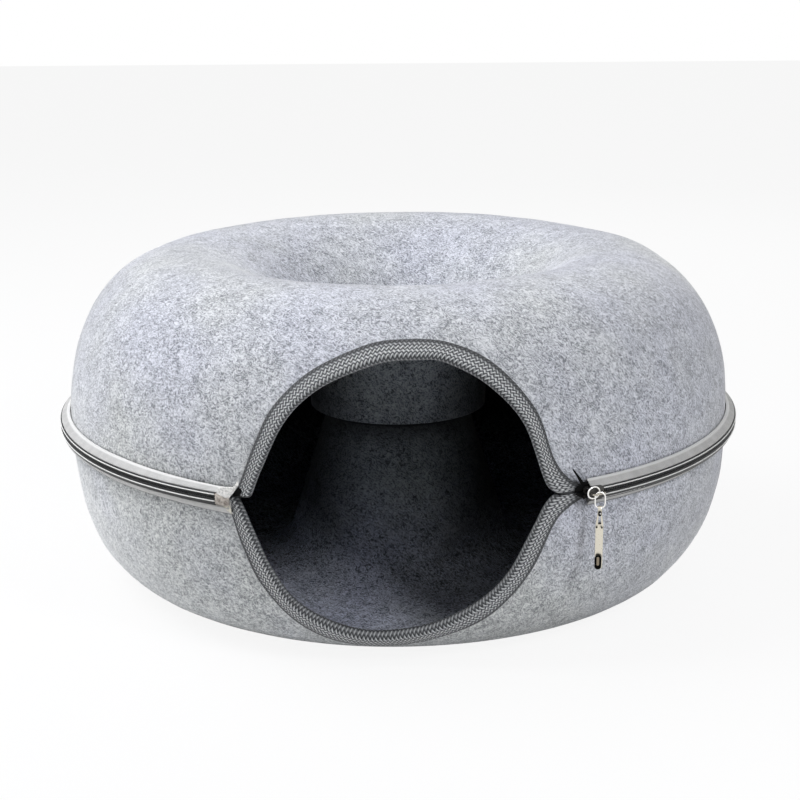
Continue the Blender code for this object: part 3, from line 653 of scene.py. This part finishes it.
tape = woven_tape()
for side, name, body, node in (
    (1, "tape_upper", "upper_half", "upper_zip_tape"),
    (-1, "tape_lower", "lower_half", "lower_zip_tape"),
):
    tape_sweep = math.tau - tape_start - tape_end
    builder = spin_section(tape_section[side], False, tape_start, tape_sweep, chain_steps)
    lay_run(builder)
    if side < 0:
        bmesh.ops.reverse_faces(builder, faces=builder.faces)
        for vertex in builder.verts:
            vertex.co.z += lower_tilt * (vertex.co.x - ring.x)
    sag(builder, *tape_sag[side])
    strip = finish_piece(name, builder, tape, body, [node])
    thicken(strip, tape_thickness)
    rounding = strip.modifiers.new("Round", "SUBSURF")
    rounding.levels = rounding.render_levels = 1

# Scraps at the ends of the zip: the folded and knotted tape ends at the left corner, and black
# sheets laid as painted shade in the gaps at both corners. Each is thin cloth on the felt wall,
# drawn by its outline in millimetres across and above the seam.
scrap_thickness = 0.0005
scrap_shade = 0.6
crumples = 450


def scrap_cloth(name, hex_colour):
    """Matt cloth of one colour with a darker grain."""
    material, tree, shader = new_material(name)
    place = add(tree, "TexCoord").outputs["Object"]
    grain = add(tree, "TexNoise", {"Scale": 900, "Detail": 3}, {"Vector": place}).outputs[0]
    ramp = add(tree, "ValToRGB", {}, {"Fac": grain}, ((0.3, hex_colour), (0.6, hex_colour)))
    ramp.color_ramp.elements[0].color = [share * scrap_shade for share in linear(hex_colour)[:3]] + [1]
    finish = {"Roughness": 0.8, "Specular IOR Level": 0.1}
    wire(tree, shader, finish, {"Base Color": ramp.outputs[0]})
    return material


for name, body, hex_colour, lift, crumple, outline in (
    (
        "tape_fold", "upper_half", "#fffef9", 0.0095, 0.0010,
        (
            (-111.0, 7.0), (-108.5, 8.1), (-101.6, 8.8), (-99.3, 11.3), (-98.0, 14.2), (-97.9, 10.6),
            (-100.2, 7.0), (-102.0, 4.4), (-104.3, 1.6), (-107.2, 1.4), (-109.6, 2.4), (-112.2, 3.4),
        ),
    ),
    (
        "tape_knot", "lower_half", "#ece8d8", 0.0062, 0.0010,
        ((-109.0, -4.4), (-105.2, -3.6), (-103.6, -6.5), (-103.4, -9.6), (-105.6, -8.3), (-108.0, -6.4)),
    ),
    # Black sheets that stand in for the shade beside the tape ends and binding tails: painted shade.
    (
        "painted_shade_left", "upper_half", "#0c0c0c", 0.0022, 0.0004,
        ((-104.5, 0.6), (-101.6, 3.6), (-99.0, 6.6), (-96.6, 4.6), (-98.2, 0.6)),
    ),
    (
        "painted_shade_right", "upper_half", "#0c0c0c", 0.0030, 0.0006,
        (
            (109.5, 0.5), (109.8, 3.0), (113.2, 5.0), (107.6, 15.0), (108.1, 15.3), (114.7, 6.4),
            (117.6, 5.6), (118.2, 0.5),
        ),
    ),
    (
        "painted_shade_lower_right", "lower_half", "#0c0c0c", 0.0030, 0.0006,
        ((109.0, -0.5), (118.2, -0.5), (117.0, -4.8), (112.6, -3.4)),
    ),
):
    builder = bmesh.new()
    corners = [builder.verts.new((across / 1000, level / 1000, 0)) for across, level in outline]
    face = builder.faces.new(corners)
    bmesh.ops.triangulate(builder, faces=[face])
    bmesh.ops.subdivide_edges(builder, edges=builder.edges, cuts=4, use_grid_fill=True)
    for vertex in builder.verts:
        out = lift + crumple * noise.noise(vertex.co * crumples)
        vertex.co = on_wall(vertex.co.x / (1 + out / felt_radius), vertex.co.y, out)
    bmesh.ops.recalc_face_normals(builder, faces=builder.faces)
    thicken(finish_piece(name, builder, scrap_cloth(name, hex_colour), body), scrap_thickness)

# Coils. Black nylon coil, one on each tape, whose turns mesh 1.4 mm apart; each turn is drawn as
# one rounded bar on a core. A row of white polyester thread sews each coil to its tape and shows
# as a fine white line along the black.
coil_radius = 0.2490
chain_drop = 0.0006
turn_pitch = 0.0014
core_reach = {1: 0.0028, -1: 0.0060}
bar_size, bar_round = (0.00088, 0.0017, 0.0029), 0.00025
bar_radius, bar_level = 0.2481, 0.0017
bar_inset = 0.002
thread_radius, thread_level, thread_half = 0.2489, 0.0022, 0.00042
thread_sides, thread_steps = 8, 900
coil_start = math.radians(28.2)
coil_end = tape_end + 0.0108 / coil_radius
coil_sweep = math.tau - coil_start - coil_end
turns = round(coil_sweep * coil_radius / turn_pitch)


def mottled(name, scale, detail, roughness, stops):
    """A plain plastic or thread whose colour wanders between its stops."""
    material, tree, shader = new_material(name)
    place = add(tree, "TexCoord").outputs["Object"]
    cloud = add(tree, "TexNoise", {"Scale": scale, "Detail": detail}, {"Vector": place}).outputs[0]
    colour = add(tree, "ValToRGB", {}, {"Fac": cloud}, stops).outputs[0]
    wire(tree, shader, {"Roughness": roughness}, {"Base Color": colour})
    return material


coil_black = mottled("nylon_coil", 600, 3, 0.42, ((0, "#141515"), (1, "#2b2c2c")))
thread_white = mottled("polyester_thread", 900, 2, 0.6, ((0, "#d6d6d2"), (1, "#f6f6f2")))
for side, name, body, node in (
    (1, "coil_upper", "upper_half", "upper_zip_coil"),
    (-1, "coil_lower", "lower_half", "lower_zip_coil"),
):
    reach = core_reach[side]
    core = [(0.2466, reach), (0.2476, reach), (0.2485, 0.0024), (0.2484, 0.0010), (0.2466, 0.0010)]
    core = [(radius, level * side - (chain_drop if level < reach else 0)) for radius, level in core]
    builder = spin_section(core, True, coil_start, coil_sweep, chain_steps)
    bar = bmesh.new()
    bmesh.ops.create_cube(bar, size=1)
    bmesh.ops.scale(bar, vec=bar_size, verts=bar.verts)
    bmesh.ops.bevel(
        bar, geom=bar.edges, offset=bar_round, offset_type="OFFSET", segments=1, profile=0.5,
        affect="EDGES", material=-1,
    )
    lead = 0 if side > 0 else turn_pitch / 2 / coil_radius
    bar_place = ring + Vector((0, -bar_radius, side * bar_level - chain_drop))
    bmesh.ops.translate(bar, verts=bar.verts, vec=bar_place)
    first_turn = Matrix.Rotation(coil_start + lead + bar_inset, 3, "Z")
    bmesh.ops.rotate(bar, verts=bar.verts, cent=ring, matrix=first_turn)
    bmesh.ops.spin(
        bar, geom=bar.verts[:] + bar.edges[:] + bar.faces[:], cent=ring, axis=(0, 0, 1), dvec=(0, 0, 0),
        angle=coil_sweep - lead - 2 * bar_inset, steps=turns, use_merge=False, use_normal_flip=False,
        use_duplicate=True,
    )
    bars = bpy.data.meshes.new("bars")
    bar.to_mesh(bars)
    bar.free()
    builder.from_mesh(bars)
    finish_piece(name, builder, coil_black, body, [node], smooth=False)
    thread = []
    for point in range(thread_sides):
        angle = math.tau * point / thread_sides
        level = side * thread_level - chain_drop + thread_half * math.sin(angle)
        thread.append((thread_radius + thread_half * math.cos(angle), level))
    builder = spin_section(thread, True, coil_start, coil_sweep, thread_steps)
    finish_piece(name + "_thread", builder, thread_white, body)


# Small hardware: the slider casting with its bridge, the wire link, the flat pull, the end stops,
# all cast or pressed metal with a nickel plate. The casting and the top stops are painted nearly
# black and the bridge a duller grey, as painted shade on the same nickel; the link is bright, and
# the pull has a pale champagne plate.
def plated(name, colour, roughness):
    """A metal skin whose gloss wanders with wear."""
    material, tree, shader = new_material(name)
    place = add(tree, "TexCoord").outputs["Object"]
    wear = add(tree, "TexNoise", {"Scale": 500, "Detail": 4, "Roughness": 0.6}, {"Vector": place}).outputs[0]
    gloss = add(tree, "MapRange", {3: roughness, 4: roughness + 0.2}, {0: wear}).outputs[0]
    bump = add(tree, "Bump", {"Strength": 0.1, "Distance": 0.0001}, {"Height": wear}).outputs[0]
    finish = {"Base Color": linear(colour), "Metallic": 1.0}
    wire(tree, shader, finish, {"Roughness": gloss, "Normal": bump})
    return material


weld = 1e-6
flat_angle, edge_angle = math.radians(3), math.radians(40)


def dress(node, name, body, material, bevel=0, swell=0):
    """A merged copy of a cast or pressed piece, with rounded edges and a skin swollen outwards."""
    builder = bmesh.new()
    builder.from_mesh(frame["nodes"][node].data)
    bmesh.ops.remove_doubles(builder, verts=builder.verts, dist=weld)
    bmesh.ops.dissolve_limit(
        builder, angle_limit=flat_angle, verts=builder.verts, edges=builder.edges, delimit=set()
    )
    builder.normal_update()
    for vertex in builder.verts:
        vertex.co += vertex.normal * swell
    piece = finish_piece(name, builder, material, body, [node])
    if bevel:
        rounding = piece.modifiers.new("Round", "BEVEL")
        rounding.width = bevel
        rounding.segments = 2
        rounding.limit_method = "ANGLE"
        rounding.angle_limit = edge_angle


# One nickel plate in several tones: the darker copies are painted shade.
casting_painted_dark = plated("nickel_plate_painted_shade", "#4e4d4b", 0.35)
bridge_painted_grey = plated("nickel_plate_painted_half_shade", "#b5b0a5", 0.30)
bright = plated("bright_nickel_plate", "#f6f5f2", 0.12)
champagne = plated("champagne_plate", "#dbd5c6", 0.2)
stops_painted_dark = plated("stop_metal_painted_shade", "#1e1d1c", 0.4)
dress("slider_body", "slider_casting", "slider", casting_painted_dark, bevel=0.00025)
dress("slider_bridge", "slider_arch", "slider", bridge_painted_grey, bevel=0.0002)
dress("pull_link", "wire_link", "pull_link", bright, swell=0.0001)
dress("pull_tab", "flat_pull", "pull_tab", champagne, bevel=0.00022)
dress("upper_top_stop", "stop_upper", "upper_half", stops_painted_dark)
dress("lower_top_stop", "stop_lower", "lower_half", stops_painted_dark)

# Slider rim: the bright oval edge of the casting's nose, a thin raised ring that stands up on the
# slider's face on the entry's side of the bridge and catches the light.
rim_half_width, rim_half_height, rim_half_depth, rim_wire_share = 0.0043, 0.0037, 0.000518, 0.14
rim_radius, rim_level, rim_azimuth = 0.2522, 0.0010, math.radians(28.6)
slider_rim = bmesh.new()
bmesh.ops.create_grid(slider_rim, x_segments=40, y_segments=8, size=0.5)
for vertex in slider_rim.verts:
    around, over = math.tau * (vertex.co.x + 0.5), math.tau * (vertex.co.y + 0.5)
    share = 1 + rim_wire_share * math.cos(over)
    vertex.co.x = rim_half_width * math.cos(around) * share
    vertex.co.y = -rim_half_depth * math.sin(over)
    vertex.co.z = rim_half_height * math.sin(around) * share
bmesh.ops.remove_doubles(slider_rim, verts=slider_rim.verts, dist=10 * weld)
bmesh.ops.translate(slider_rim, verts=slider_rim.verts, vec=ring + Vector((0, -rim_radius, rim_level)))
bmesh.ops.rotate(
    slider_rim, verts=slider_rim.verts, cent=ring, matrix=Matrix.Rotation(rim_azimuth, 3, "Z")
)
bmesh.ops.recalc_face_normals(slider_rim, faces=slider_rim.faces)
finish_piece("slider_rim", slider_rim, bright, "slider")

# Pull inlays: thin dark fills in the pull's face: painted shade in its eye, slot and notches,
# and a black enamel fill with a brown core in its sunk grip; and one bright nickel patch as a
# painted glint. Their places and sizes are in millimetres from the tab's hinge, measured
# across and above it, and each stands proud of the face by its lift.
hinge = Vector(joints["tab_swing"]["pos_m"])
wide = -Vector(joints["tab_swing"]["axis"])
outward = wide.cross(Vector((0, 0, 1)))
tab_places = [vertex.co for vertex in frame["nodes"]["pull_tab"].data.vertices]
tab_front = max((place - hinge).dot(outward) for place in tab_places)
tab_foot = min(place.z for place in tab_places) - hinge.z
grip = tab_foot * 1000
inlay_root = 0.0002
inlay_steps = 32
glint_nickel = plated("nickel_plate", "#dcdad4", 0.15)
enamel_and_shade_black = plated("black_enamel_and_painted_shade", "#0d0d0c", 0.45)
enamel_brown = plated("brown_enamel", "#8c8171", 0.45)
for name, material, across, level, width, height, lift in (
    ("pull_inlay", enamel_and_shade_black, -0.4, grip + 5.0, 4.2, 9.4, 0.1),
    ("pull_inlay_core", enamel_brown, -0.4, grip + 5.8, 1.6, 5.8, 0.2),
    # The eye, slot and notches are filled black as painted shade; the glint is a painted highlight of plain
    # nickel.
    ("pull_eye_shade", enamel_and_shade_black, 0.0, -3.0, 2.2, 3.3, 0.1),
    ("pull_eye_glint", glint_nickel, 0.3, -2.9, 0.8, 1.0, 0.2),
    ("pull_slot_shade", enamel_and_shade_black, 0.1, -9.2, 2.0, 0.8, 0.1),
    ("pull_notch_left", enamel_and_shade_black, -1.7, -11.9, 1.0, 1.3, 0.1),
    ("pull_notch_right", enamel_and_shade_black, 1.5, -12.1, 1.0, 1.3, 0.1),
):
    builder = bmesh.new()
    corner = min(width, height) / 2
    outline = []
    for step in range(inlay_steps):
        angle = math.tau * (step + 0.5) / inlay_steps
        x = corner * math.cos(angle) + math.copysign(width / 2 - corner, math.cos(angle))
        z = corner * math.sin(angle) + math.copysign(height / 2 - corner, math.sin(angle))
        place = hinge + wide * (across + x) / 1000 + outward * (tab_front - inlay_root)
        outline.append(builder.verts.new(place + Vector((0, 0, (level + z) / 1000))))
    face = builder.faces.new(outline)
    made = bmesh.ops.extrude_face_region(builder, geom=[face])["geom"]
    moved = [item for item in made if isinstance(item, bmesh.types.BMVert)]
    bmesh.ops.translate(builder, verts=moved, vec=outward * (inlay_root + lift / 1000))
    bmesh.ops.recalc_face_normals(builder, faces=builder.faces)
    finish_piece(name, builder, material, "pull_tab", smooth=False)

# Stop at the closed end: a small block of moulded cream plastic, slightly satin and cloudy with
# the dirt of handling, pressed over both tapes beside the entry's left corner.
cream = mottled("cream_plastic", 420, 3, 0.55, ((0.35, "#7a7067"), (0.65, "#d6cec3")))
dress("bottom_stop", "stop_closed_end", "lower_half", cream)

bpy.context.view_layer.update()
